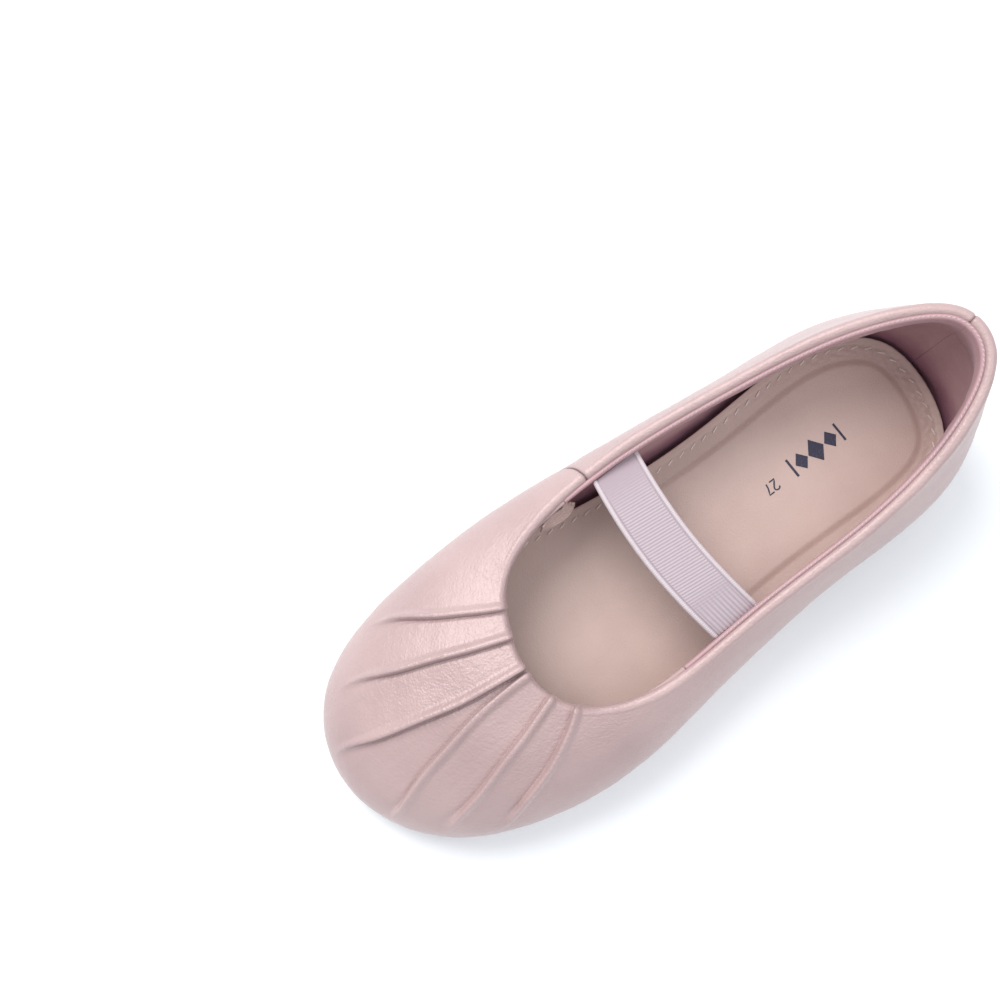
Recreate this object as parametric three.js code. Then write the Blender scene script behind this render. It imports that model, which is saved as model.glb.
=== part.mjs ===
// Left ballet slipper with a pleated toe and an elastic strap, child size EU 27.
// Millimetres; +X points to the toe, +Y to the outer side of the foot, +Z up; floor at z = 0.
import * as THREE from "three";

// ---- driving dimensions (mm) ----
const LEATHER = 1.0; // upper leather
const LINING = 0.7; // lining leather and lining cloth
const STIFFENER = 0.7; // toe puff, heel counter and the sewn-in strap ends
const GAP = 0.3; // air left between glued layers
const ROLL = 2.0; // radius of the turned topline
const LEG = 2.0; // length of the turned edge inside the topline
const MARGIN = 9.0; // lasting margin turned under the board
const OUTSOLE = 2.8;
const BOARD = 1.4;
const FILLER = 1.8;
const SOCK = 0.8;
const PAD = 2.2; // heel and arch pad under the sock
const HEEL_LIFT = 6.0;
const STRAP_WIDTH = 13.5;
const STRAP_X = -5.5; // middle of the strap along the shoe
const STRAP_BOW = 2.5; // how far the middle of the strap leans to the toe
const CENTRE_X = 0.55; // shift that puts the overall box on the origin
const CENTRE_Y = 0.95;

// Feather edge: where the upper turns under the board. Sixteen stations run from the
// back of the heel along the outer side to the toe and back along the inner side.
const FEATHER = [
  [-87, -0.5], [-83, 18], [-67, 29], [-36, 29.5], [-6, 30.5], [25.5, 34], [51, 33], [78.5, 22],
  [92, -2], [82, -24.5], [55, -32], [24.5, -30], [-5, -25], [-34, -23], [-62, -23], [-81, -15],
];
// Topline: the rim of the foot opening at the same sixteen stations, with its height.
const TOPLINE = [
  [-90.3, 0.4, 52.5], [-85.7, 13.2, 52], [-65.5, 22.7, 46.5], [-39.5, 26, 39.5],
  [-11, 26, 35], [16, 26, 32], [33, 19.7, 31.5], [40, 10.7, 32.5],
  [41, 0.5, 33.5], [37.8, -10, 33.3], [29.7, -20.6, 33], [10.6, -26.6, 33.5],
  [-11, -27.2, 36], [-34, -24.4, 40], [-61.4, -18.7, 46.3], [-82, -9.6, 51.5],
];

// ---- stations shared by every layer, so neighbouring facets stay parallel ----
const BACK_SEAM = 0.0;
const SIDE_SEAM = 0.712; // inner side seam, just ahead of the strap
const LINING_OUTER = 0.3; // vamp lining meets the quarter linings here
const LINING_INNER = 0.69;
const SEAM_HALF = 0.0006;
const COUNT = 60;
const WALL_STEPS = 8;
const ROLL_STEPS = 5;
const STATIONS = makeStations();

function makeStations() {
  const list = [];
  for (let i = 0; i < COUNT; i += 1) list.push(i / COUNT);
  for (const seam of [BACK_SEAM, SIDE_SEAM, LINING_OUTER, LINING_INNER]) {
    list.push(wrap(seam - SEAM_HALF));
    list.push(wrap(seam + SEAM_HALF));
  }
  return list.sort((a, b) => a - b);
}

function wrap(u) {
  return u - Math.floor(u);
}

// Stations from a to b; a may be negative when the span crosses the back seam.
function span(a, b) {
  const list = [];
  for (const turn of [-1, 0, 1]) {
    for (const u of STATIONS) {
      if (u + turn >= a - 1e-9 && u + turn <= b + 1e-9) list.push(u + turn);
    }
  }
  return list;
}

// ---- curves ----
const featherCurve = splineLoop(FEATHER);
const toplineCurve = splineLoop(TOPLINE);

// Closed natural cubic through evenly spaced knots, solved by relaxation.
function splineLoop(points) {
  const n = points.length;
  const dims = points[0].length;
  const slopes = points.map((p, i) => p.map((v, d) => (at(points, i + 1)[d] - at(points, i - 1)[d]) / 2));
  for (let pass = 0; pass < 60; pass += 1) {
    for (let i = 0; i < n; i += 1) {
      for (let d = 0; d < dims; d += 1) {
        const chord = 3 * (at(points, i + 1)[d] - at(points, i - 1)[d]);
        slopes[i][d] = (chord - at(slopes, i + 1)[d] - at(slopes, i - 1)[d]) / 4;
      }
    }
  }
  return (u) => {
    const s = wrap(u) * n;
    const i = Math.floor(s);
    const t = s - i;
    const h = [2 * t ** 3 - 3 * t ** 2 + 1, t ** 3 - 2 * t ** 2 + t, 3 * t ** 2 - 2 * t ** 3, t ** 3 - t ** 2];
    const [p, m, q, k] = [at(points, i), at(slopes, i), at(points, i + 1), at(slopes, i + 1)];
    return p.map((v, d) => h[0] * v + h[1] * m[d] + h[2] * q[d] + h[3] * k[d]);
  };
}

function at(list, i) {
  return list[((i % list.length) + list.length) % list.length];
}

function ease(a, b, x) {
  const t = Math.min(Math.max((x - a) / (b - a), 0), 1);
  return t * t * (3 - 2 * t);
}

// Level of the underside of the lasting margin along the shoe.
function base(x) {
  return 3.1 + 6.3 * (1 - ease(-50, 8, x)) + 2.6 * ease(52, 92, x);
}

// Level outward direction square to a closed curve.
function outward(curve, u) {
  const a = curve(u - 1e-3);
  const b = curve(u + 1e-3);
  return new THREE.Vector3(a[1] - b[1], b[0] - a[0], 0).normalize();
}

function toeWeight(u) {
  return Math.sin(Math.PI * wrap(u)) ** 6;
}

// ---- the last: outer skin of the upper ----
// steps 0..8 climb from the feather edge to the start of the turned topline
function wallPoint(u, step) {
  const v = step / WALL_STEPS;
  const w = toeWeight(u);
  const f = featherCurve(u);
  const low = new THREE.Vector3(f[0], f[1], base(f[0]));
  const high = rollPoint(u, 0);
  const rise = high.z - low.z;
  const lowPull = outward(featherCurve, u).multiplyScalar(3.4 + 5 * w);
  lowPull.z = rise * 0.36 * (1 - w) + 15.5 * w;
  const highPull = outward(toplineCurve, u).multiplyScalar(3.4 + 17 * w);
  highPull.z = -(rise * 0.36 * (1 - w) + 0.8 * w);
  const out = low.clone().multiplyScalar((1 - v) ** 3);
  out.addScaledVector(low.clone().add(lowPull), 3 * (1 - v) ** 2 * v);
  out.addScaledVector(high.clone().add(highPull), 3 * (1 - v) * v ** 2);
  return out.addScaledVector(high, v ** 3);
}

// A point under the shoe, inset from the feather edge and lifted from the base level.
function bottomPoint(u, inset, lift) {
  const f = featherCurve(u);
  const p = new THREE.Vector3(f[0], f[1], 0).addScaledVector(outward(featherCurve, u), -inset);
  p.z = base(p.x) + lift;
  return p;
}

// A point by the topline: distance inward from the rim and height from the crest.
function rimPoint(u, inward, height) {
  const t = toplineCurve(u);
  const p = new THREE.Vector3(t[0], t[1], t[2] + height);
  return p.addScaledVector(outward(toplineCurve, u), -inward);
}

// The turned topline: share 0 is where the wall ends and 1 is its inner side. On the quarters the
// leather climbs round the whole half circle, and at the throat it comes in level and turns down.
function rollPoint(u, share) {
  const start = (Math.PI / 2) * toeWeight(u);
  const a = start + (Math.PI - start) * share;
  return rimPoint(u, ROLL - ROLL * Math.cos(a), ROLL * Math.sin(a) - ROLL);
}

// Outer skin of the upper from the lasting margin to the end of the turned edge.
function upperPath(u) {
  const path = [bottomPoint(u, MARGIN, 0), bottomPoint(u, MARGIN * 0.45, 0)];
  for (let k = 0; k <= WALL_STEPS; k += 1) path.push(wallPoint(u, k));
  for (let k = 1; k <= ROLL_STEPS; k += 1) path.push(rollPoint(u, k / ROLL_STEPS));
  path.push(rimPoint(u, 2 * ROLL, -ROLL - LEG));
  return path;
}

function wallPath(u, from, to) {
  const path = [];
  for (let k = from; k <= to; k += 1) path.push(wallPoint(u, k));
  return path;
}

// Move a path inward along its own surface normal by one depth per point.
function sink(pathAt, u, depths) {
  const here = pathAt(u);
  const back = pathAt(u - 1e-3);
  const ahead = pathAt(u + 1e-3);
  return here.map((p, k) => {
    const climb = here[Math.min(k + 1, here.length - 1)].clone().sub(here[Math.max(k - 1, 0)]);
    const normal = climb.cross(ahead[k].clone().sub(back[k])).normalize();
    return p.clone().addScaledVector(normal, -depths[k]);
  });
}

// ---- bodies ----
// One closed sheet: outer and inner are matching grids of points.
function sheetBody(outer, inner, closed) {
  const tris = [];
  const rows = outer.length;
  const cols = outer[0].length;
  const quad = (a, b, c, d) => tris.push([a, b, c], [a, c, d]);
  const lastRow = closed ? rows : rows - 1;
  for (let i = 0; i < lastRow; i += 1) {
    const j = (i + 1) % rows;
    for (let k = 0; k + 1 < cols; k += 1) {
      quad(outer[i][k], outer[j][k], outer[j][k + 1], outer[i][k + 1]);
      quad(inner[i][k], inner[i][k + 1], inner[j][k + 1], inner[j][k]);
    }
    quad(outer[i][0], inner[i][0], inner[j][0], outer[j][0]);
    quad(outer[i][cols - 1], outer[j][cols - 1], inner[j][cols - 1], inner[i][cols - 1]);
  }
  if (!closed) {
    for (let k = 0; k + 1 < cols; k += 1) {
      quad(outer[0][k], outer[0][k + 1], inner[0][k + 1], inner[0][k]);
      quad(outer[rows - 1][k], inner[rows - 1][k], inner[rows - 1][k + 1], outer[rows - 1][k + 1]);
    }
  }
  return solid(tris);
}

// A rod round a closed run of points with its own two cross directions.
function rodLoop(rings) {
  const tris = [];
  rings.forEach((ring, i) => {
    const next = rings[(i + 1) % rings.length];
    ring.forEach((p, k) => {
      const m = (k + 1) % ring.length;
      tris.push([p, next[k], next[m]], [p, next[m], ring[m]]);
    });
  });
  return solid(tris);
}

// Drops collapsed triangles and turns every face outward.
function solid(tris) {
  const kept = tris.filter(([a, b, c]) => b.clone().sub(a).cross(c.clone().sub(a)).length() > 1e-7);
  let volume = 0;
  for (const [a, b, c] of kept) volume += a.dot(b.clone().cross(c));
  const flat = [];
  for (const [a, b, c] of kept) {
    for (const p of volume > 0 ? [a, b, c] : [a, c, b]) flat.push(p.x - CENTRE_X, p.y - CENTRE_Y, p.z);
  }
  const geometry = new THREE.BufferGeometry();
  geometry.setAttribute("position", new THREE.Float32BufferAttribute(flat, 3));
  geometry.computeVertexNormals();
  return geometry;
}

// A plate under the foot: ribs run across from the outer to the inner side.
const RIB = [-1, -0.82, -0.4, 0.4, 0.82, 1];
function plate(uFrom, uTo, inset, bottomAt, topAt) {
  const ups = [];
  const downs = [];
  for (const u of STATIONS.filter((s) => s >= uFrom - 1e-9 && s <= uTo + 1e-9 && isRegular(s))) {
    const a = bottomPoint(u, inset, 0);
    const b = bottomPoint(1 - u, inset, 0);
    const edge = RIB.map((r) => (a.distanceTo(b) < 0.01 ? 1 : r));
    const rib = RIB.map((r) => a.clone().lerp(b, (r + 1) / 2));
    ups.push(rib.map((p, k) => new THREE.Vector3(p.x, p.y, topAt(p.x, edge[k]))));
    downs.push(rib.map((p, k) => new THREE.Vector3(p.x, p.y, bottomAt(p.x, edge[k]))));
  }
  return sheetBody(ups, downs, false);
}

function isRegular(u) {
  return Math.abs(u * COUNT - Math.round(u * COUNT)) < 1e-6;
}

// ---- materials ----
function mesh(name, geometry, colour, roughness) {
  const material = new THREE.MeshStandardMaterial({ color: colour, roughness, metalness: 0 });
  const node = new THREE.Mesh(geometry, material);
  node.name = name;
  return node;
}

// ---- bottom unit ----
function outsole() {
  const top = (x) => base(x) - GAP;
  return mesh("outsole", plate(0, 0.5, 3.5, (x) => top(x) - OUTSOLE, top), 0xc9a79d, 0.7);
}

function heelLift() {
  return mesh("heel_lift", plate(0, 9 / COUNT, 5, () => 0, () => HEEL_LIFT), 0xb08f86, 0.75);
}

function bottomFiller() {
  const low = (x) => base(x) + 0.1;
  return mesh("bottom_filler", plate(17 / COUNT, 0.5, MARGIN + 1, low, (x) => low(x) + FILLER), 0x8a6a4a, 0.95);
}

function shankBoard() {
  const low = (x) => base(x) + 0.1;
  return mesh("shank_board", plate(0, 16 / COUNT, MARGIN + 1, low, (x) => low(x) + FILLER), 0x9c7b58, 0.9);
}

const BOARD_LOW = 1.0 + 2 * GAP + LINING + 0.1;
const SOCK_LOW = BOARD_LOW + BOARD + GAP;

function insoleBoard() {
  const low = (x) => base(x) + BOARD_LOW;
  return mesh("insole_board", plate(0, 0.5, 4, low, (x) => low(x) + BOARD), 0xb9a58b, 0.9);
}

// Swelling of the sock over the pad: full at the heel, gone ahead of the strap.
function swell(x, r) {
  return PAD * (1 - ease(-14, 14, x)) * (1 - ease(0.82, 1, Math.abs(r)));
}

function footbedPad() {
  const low = (x) => base(x) + SOCK_LOW;
  const high = (x, r) => low(x) + 0.35 + 0.8 * PAD * (1 - ease(-14, 14, x)) * (1 - ease(0.7, 1, Math.abs(r)));
  return mesh("footbed_pad", plate(0, 16 / COUNT, 8, low, high), 0xe6d9c8, 0.95);
}

function sockLiner() {
  const low = (x, r) => base(x) + SOCK_LOW + 0.7 * (1 - ease(8, 26, x)) * (1 - ease(0.82, 1, Math.abs(r))) + swell(x, r);
  return mesh("sock_liner", plate(0, 0.5, 3.2, low, (x, r) => low(x, r) + SOCK), 0xcda597, 0.55);
}

// ---- upper ----
function upperPanel(name, from, to) {
  const stations = span(from, to);
  const outer = stations.map(upperPath);
  const inner = stations.map((u) => sink(upperPath, u, outer[0].map(() => LEATHER)));
  return mesh(name, sheetBody(outer, inner, false), 0xcf9f97, 0.35);
}

function wallPatch(name, from, to, low, high, depth, thick, colour) {
  const path = (u) => wallPath(u, low - 1, high + 1);
  const cut = (list) => list.slice(1, -1);
  const stations = span(from, to);
  const layer = (d) => stations.map((u) => cut(sink(path, u, path(u).map(() => d))));
  return mesh(name, sheetBody(layer(depth), layer(depth + thick), false), colour, 0.9);
}

// ---- linings ----
function liningPath(u) {
  const path = [bottomPoint(u, 7, 1.4), bottomPoint(u, 3.2, 1.4)];
  const wall = (s) => wallPath(s, 0, 7);
  const sunk = sink(wall, u, [0, 2.3, 2.3, 2.3, 2.3, 2.3, 2.9, 3]);
  for (let k = 1; k <= 6; k += 1) path.push(sunk[k]);
  path.push(rimPoint(u, 2 * ROLL + 0.4, -ROLL - 3));
  path.push(rimPoint(u, 2 * ROLL + 0.4, -1.2));
  return path;
}

function liningPanel(name, from, to, colour, roughness) {
  const stations = span(from, to);
  const outer = stations.map(liningPath);
  const inner = stations.map((u) => sink(liningPath, u, outer[0].map(() => LINING)));
  return mesh(name, sheetBody(outer, inner, false), colour, roughness);
}

// ---- cord inside the topline and the two runs of thread ----
function rimLoop(name, inward, height, radius, sides, colour) {
  const rings = STATIONS.map((u) => {
    const ring = [];
    for (let k = 0; k < sides; k += 1) {
      const a = (2 * Math.PI * (k + 0.5)) / sides;
      ring.push(rimPoint(u, inward + radius * Math.cos(a), height + radius * Math.sin(a)));
    }
    return ring;
  });
  return mesh(name, rodLoop(rings), colour, 0.8);
}

const THREAD = 0.3;
function sockStitching() {
  const inset = 9;
  const rings = STATIONS.filter(isRegular).map((u) => {
    const ring = [];
    for (let k = 0; k < 4; k += 1) {
      const a = (Math.PI * (k + 0.5)) / 2;
      const p = bottomPoint(u, inset + THREAD * Math.cos(a), 0);
      p.z = sockTop(u, inset) + GAP + THREAD + THREAD * Math.sin(a);
      ring.push(p);
    }
    return ring;
  });
  return mesh("sock_stitching", rodLoop(rings), 0xe3c4b8, 0.8);
}

function sockTop(u, inset) {
  const p = bottomPoint(u, inset, 0);
  return base(p.x) + SOCK_LOW + SOCK + 0.75 * (1 - ease(8, 26, p.x)) + swell(p.x, 0);
}

// ---- elastic strap ----
const STRAP_END_IN = 6.6; // distance of the loose strap from the rim where it leaves the seam
const STRAP_DROP = 5.0; // how far below the crest it starts
const STRAP_TOP = 34.2; // highest level of the strap
const STRAP_CORD = 0.8; // half thickness at the two selvedges
const STRAP_WEB = 0.5; // half thickness between them

// Middle line of the strap, s = -1 at the inner side and 1 at the outer side.
function strapLine(s) {
  const outer = rimPoint(0.262, STRAP_END_IN, -STRAP_DROP);
  const inner = rimPoint(0.738, STRAP_END_IN, -STRAP_DROP);
  const y = inner.y + ((outer.y - inner.y) * (s + 1)) / 2;
  const end = inner.z + ((outer.z - inner.z) * (s + 1)) / 2;
  const arch = 1 - Math.abs(s) ** 3.2;
  return new THREE.Vector3(STRAP_X + STRAP_BOW * (1 - s * s), y, end + (STRAP_TOP - end) * arch);
}

function elasticStrap() {
  const across = [-1, -0.9, -0.78, 0.78, 0.9, 1];
  const half = [0.45, 1, 0.7, 0.7, 1, 0.45];
  const top = [];
  const under = [];
  for (let i = 0; i <= 24; i += 1) {
    const s = -Math.cos((Math.PI * i) / 24);
    const here = strapLine(s);
    const run = strapLine(Math.min(s + 0.01, 1)).sub(strapLine(Math.max(s - 0.01, -1)));
    const normal = new THREE.Vector3(0, -run.z, run.y).normalize();
    const row = across.map((a) => here.clone().add(new THREE.Vector3((a * STRAP_WIDTH) / 2, 0, 0)));
    const depth = half.map((h) => (h < 0.6 ? h * STRAP_CORD : h > 0.9 ? STRAP_CORD : STRAP_WEB));
    top.push(row.map((p, k) => p.clone().addScaledVector(normal, depth[k])));
    under.push(row.map((p, k) => p.clone().addScaledVector(normal, -depth[k])));
  }
  return mesh("elastic_strap", sheetBody(top, under, false), 0xdcc0c6, 0.8);
}

// Loose tail of the inner strap end, curling up off the lining ahead of the strap.
function strapTail() {
  const top = [];
  const under = [];
  for (let i = 0; i <= 6; i += 1) {
    const root = rimPoint(0.685 - 0.0022 * i, 7.2 + 0.25 * i * i * 0.3, -7 + 0.5 * i);
    const up = new THREE.Vector3(0, 0, 1);
    const out = outward(toplineCurve, 0.68);
    top.push([-2, 0, 2].map((h) => root.clone().addScaledVector(up, h).addScaledVector(out, 0.35)));
    under.push([-2, 0, 2].map((h) => root.clone().addScaledVector(up, h).addScaledVector(out, -0.35)));
  }
  return mesh("strap_tail", sheetBody(top, under, false), 0xe0b9b6, 0.8);
}

// ---- assembly ----
const shoe = new THREE.Group();
shoe.name = "ballet_slipper_left";
const gap = SEAM_HALF;
shoe.add(outsole(), heelLift(), bottomFiller(), shankBoard(), insoleBoard(), footbedPad(), sockLiner());
shoe.add(upperPanel("vamp", BACK_SEAM + gap, SIDE_SEAM - gap));
shoe.add(upperPanel("inner_quarter", SIDE_SEAM + gap, 1 - gap));
shoe.add(wallPatch("toe_puff", 23 / 60, 37 / 60, 1, 5, LEATHER + GAP, STIFFENER, 0xd9d2c4));
shoe.add(wallPatch("heel_counter", -7 / 60, 7 / 60, 1, 5, LEATHER + GAP, STIFFENER, 0xbfae94));
shoe.add(wallPatch("strap_end_outer", 15 / 60, 17 / 60, 3, 6, LEATHER + GAP, STIFFENER, 0xdcc0c6));
shoe.add(wallPatch("strap_end_inner", 43 / 60, 45 / 60, 3, 6, LEATHER + GAP, STIFFENER, 0xdcc0c6));
shoe.add(liningPanel("vamp_lining", LINING_OUTER + gap, LINING_INNER - gap, 0xd9b7ad, 0.9));
shoe.add(liningPanel("outer_quarter_lining", BACK_SEAM + gap, LINING_OUTER - gap, 0xb98f88, 0.5));
shoe.add(liningPanel("inner_quarter_lining", LINING_INNER + gap, 1 - gap, 0xb98f88, 0.5));
shoe.add(rimLoop("topline_cord", ROLL, -ROLL, 0.6, 6, 0xe8ded2));
shoe.add(rimLoop("topline_stitching", 5.9, -3, THREAD, 4, 0xe9cfc6));
shoe.add(sockStitching(), elasticStrap(), strapTail());

export default shoe;
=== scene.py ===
import math

import bpy
import numpy as np
from mathutils import Matrix, Vector


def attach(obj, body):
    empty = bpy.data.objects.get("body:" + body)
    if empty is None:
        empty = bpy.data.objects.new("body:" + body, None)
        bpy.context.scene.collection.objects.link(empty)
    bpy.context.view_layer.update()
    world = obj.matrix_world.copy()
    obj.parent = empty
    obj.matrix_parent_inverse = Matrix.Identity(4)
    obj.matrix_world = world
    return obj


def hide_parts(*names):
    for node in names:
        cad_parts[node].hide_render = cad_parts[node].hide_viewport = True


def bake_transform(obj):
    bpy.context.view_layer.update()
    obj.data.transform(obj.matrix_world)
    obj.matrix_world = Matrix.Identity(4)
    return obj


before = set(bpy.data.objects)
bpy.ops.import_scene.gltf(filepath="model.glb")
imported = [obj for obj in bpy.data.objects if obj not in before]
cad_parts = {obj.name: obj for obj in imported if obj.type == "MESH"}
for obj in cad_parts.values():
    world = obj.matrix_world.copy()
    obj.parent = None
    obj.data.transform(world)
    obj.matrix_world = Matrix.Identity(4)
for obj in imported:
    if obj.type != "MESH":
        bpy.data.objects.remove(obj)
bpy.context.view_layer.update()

# ---------------------------------------------------------------- upper leather
# The toe and the outer quarter are one piece of dusty-rose pearlised nappa, the inner quarter
# another. Both are pulled over the last, turned under the board and turned over a cord at the
# topline. Six knife pleats gather the toe, all folded towards the middle.
MM = 0.001
FEATHER = [
    (-87, -0.5), (-83, 18), (-67, 29), (-36, 29.5), (-6, 30.5), (25.5, 34), (51, 33), (78.5, 22),
    (92, -2), (82, -24.5), (55, -32), (24.5, -30), (-5, -25), (-34, -23), (-62, -23), (-81, -15),
]
TOPLINE = [
    (-90.3, 0.4, 52.5), (-85.7, 13.2, 52), (-65.5, 22.7, 46.5), (-39.5, 26, 39.5),
    (-11, 26, 35), (16, 26, 32), (33, 19.7, 31.5), (40, 10.7, 32.5),
    (41, 0.5, 33.5), (37.8, -10, 33.3), (29.7, -20.6, 33), (10.6, -26.6, 33.5),
    (-11, -27.2, 36), (-34, -24.4, 40), (-61.4, -18.7, 46.3), (-82, -9.6, 51.5),
]
LAST_CENTRE = np.array([0.55, 0.95, 0.0])
SOLE_THICK = 3.1
HEEL_RISE = 6.3
TOE_SPRING = 2.6
TOE_SHARPNESS = 6
SIDE_BULGE = 3.4
TOE_BULGE_LOW, TOE_BULGE_HIGH = 5, 17
TOE_FRONT_HEIGHT = 15.5
THROAT_DIP = 0.8
WALL_PULL = 0.36
ROLL = 1.45
LEATHER = 0.8
SIDE_SEAM = 0.712
SEAM_WIDTH = 0.38
SEAM_DEPTH = 0.34
WALL_ROWS = 230
ROLL_ROWS = 18
HEM_DROPS = (0.5, 0.9, 1.3)
TUCK_INSETS = (9, 6.5, 4, 2.2, 1.0, 0.4)


def closed_curve(knots):
    """A smooth closed curve through evenly spaced knots."""
    p = np.array(knots, float)
    n = len(p)
    rows = 4 * np.eye(n) + np.roll(np.eye(n), 1, 0) + np.roll(np.eye(n), -1, 0)
    m = np.linalg.solve(rows, 3 * (np.roll(p, -1, 0) - np.roll(p, 1, 0)))

    def curve(u):
        s = np.mod(u, 1.0) * n
        i = np.floor(s).astype(int) % n
        t = (s - np.floor(s))[..., None]
        j = (i + 1) % n
        return ((2 * t**3 - 3 * t**2 + 1) * p[i] + (t**3 - 2 * t**2 + t) * m[i]
                + (3 * t**2 - 2 * t**3) * p[j] + (t**3 - t**2) * m[j])

    return curve


feather = closed_curve(FEATHER)
topline = closed_curve(TOPLINE)


def ease(a, b, x):
    """A smooth step from 0 at a to 1 at b."""
    t = np.clip((x - a) / (b - a), 0, 1)
    return t * t * (3 - 2 * t)


def floor_rise(x):
    """Level of the underside of the turned-under leather along the shoe."""
    return SOLE_THICK + HEEL_RISE * (1 - ease(-50, 8, x)) + TOE_SPRING * ease(52, 92, x)


def outward(curve, u):
    """Level direction away from the foot, square to a closed curve."""
    d = curve(u + 1e-3) - curve(u - 1e-3)
    n = np.stack([-d[..., 1], d[..., 0], np.zeros_like(d[..., 0])], -1)
    return n / np.linalg.norm(n, axis=-1, keepdims=True)


def toe_share(u):
    """0 at the heel and along the sides, 1 at the toe."""
    return np.sin(np.pi * np.mod(u, 1.0)) ** TOE_SHARPNESS


def rim(u, inward, height):
    """A point by the topline, inward from the rim and up from its crest."""
    out = topline(u) - outward(topline, u) * np.asarray(inward)[..., None]
    out[..., 2] += height
    return out


def rolled(u, share):
    """The turned edge: a full bead along the sides, and a plain turned-down edge at the throat."""
    w = toe_share(u)
    a = np.pi / 2 * w + (np.pi - np.pi / 2 * w) * share
    return rim(u, ROLL - ROLL * np.cos(a) - 2 * ROLL * w, ROLL * np.sin(a) - ROLL)


def wall(u, v):
    """Outer skin of the upper: v climbs from the feather edge to the start of the turned topline."""
    w = toe_share(u)[..., None]
    v = np.asarray(v)[..., None]
    f = feather(u)
    low = np.concatenate([f, floor_rise(f[..., :1])], -1)
    high = rolled(u, 0)
    rise = high[..., 2:] - low[..., 2:]
    up = np.array([0, 0, 1.0])
    climb = rise * WALL_PULL * (1 - w)
    low_pull = outward(feather, u) * (SIDE_BULGE + TOE_BULGE_LOW * w) + up * (climb + TOE_FRONT_HEIGHT * w)
    high_pull = outward(topline, u) * (SIDE_BULGE + TOE_BULGE_HIGH * w) - up * (climb + THROAT_DIP * w)
    return ((1 - v) ** 3 * low + 3 * (1 - v) ** 2 * v * (low + low_pull)
            + 3 * (1 - v) * v**2 * (high + high_pull) + v**3 * high)


def under(u, inset, lift):
    """A point below the feather edge, inset from it and lifted from the turned-under leather."""
    f = feather(u)
    p = np.concatenate([f, np.zeros_like(f[..., :1])], -1)
    p = p - outward(feather, u) * np.asarray(inset)[..., None]
    p[..., 2] = floor_rise(p[..., 0]) + lift
    return p


def grid_normals(g):
    """Outward normals of a grid of points, rows along the edge and columns up the shoe."""
    along = np.gradient(g, axis=0)
    climb = np.gradient(g, axis=1)
    n = np.cross(climb, along)
    return n / np.maximum(np.linalg.norm(n, axis=-1, keepdims=True), 1e-9)


def grid_lengths(g):
    """Distance along rows and columns of a grid of points, for an even unwrapped map."""
    rows = np.linalg.norm(np.diff(g, axis=0), axis=-1).mean(1)
    cols = np.linalg.norm(np.diff(g, axis=1), axis=-1).mean(0)
    return np.concatenate([[0], np.cumsum(rows)]), np.concatenate([[0], np.cumsum(cols)])


def piece_of(name, verts, faces, smooth=True):
    """A piece from points in millimetres, measured from the last, and their faces."""
    mesh = bpy.data.meshes.new(name)
    mesh.from_pydata(((np.asarray(verts) - LAST_CENTRE) * MM).tolist(), [], faces)
    if smooth:
        mesh.polygons.foreach_set("use_smooth", [True] * len(mesh.polygons))
    mesh.update()
    piece = bpy.data.objects.new(name, mesh)
    bpy.context.scene.collection.objects.link(piece)
    return piece


def sew_sheet(name, outer, inner, marks=None):
    """A closed sheet between two grids of points in millimetres, with an unwrapped map in metres."""
    rows, cols = outer.shape[:2]
    verts = np.concatenate([outer.reshape(-1, 3), inner.reshape(-1, 3)])
    a = np.arange(rows * cols).reshape(rows, cols)
    b = a + rows * cols

    def patch(p, q):
        return np.stack([p[:-1], p[1:], q[1:], q[:-1]], -1).reshape(-1, 4)

    faces = [
        np.stack([a[:-1, :-1], a[1:, :-1], a[1:, 1:], a[:-1, 1:]], -1).reshape(-1, 4),
        np.stack([b[:-1, :-1], b[:-1, 1:], b[1:, 1:], b[1:, :-1]], -1).reshape(-1, 4),
        patch(b[:, 0], a[:, 0]),
        patch(a[:, -1], b[:, -1]),
        patch(a[0], b[0]),
        patch(b[-1], a[-1]),
    ]
    piece = piece_of(name, verts, np.concatenate(faces).tolist())
    mesh = piece.data
    s, t = grid_lengths(outer)
    st = np.stack(np.meshgrid(s, t, indexing="ij"), -1).reshape(-1, 2)
    st = np.concatenate([st, st]) * MM
    loops = np.empty(len(mesh.loops), int)
    mesh.loops.foreach_get("vertex_index", loops)
    mesh.uv_layers.new(name="cut").data.foreach_set("uv", st[loops].ravel())
    for key, value in (marks or {}).items():
        layer = mesh.attributes.new(key, "FLOAT", "POINT")
        layer.data.foreach_set("value", np.concatenate([value.ravel(), value.ravel()]).astype(np.float32))
    return piece


def ripple(p, scale, seed):
    """Soft seeded waves in space, from about -1 to 1, for hand-made unevenness."""
    rng = np.random.default_rng(seed)
    total = np.zeros(p.shape[:-1])
    for _ in range(9):
        k = rng.normal(size=3)
        k *= 2 * np.pi / (scale * np.linalg.norm(k) * rng.uniform(0.7, 1.6))
        total += np.sin(p @ k + rng.uniform(0, 2 * np.pi))
    return total / 4.5


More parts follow.
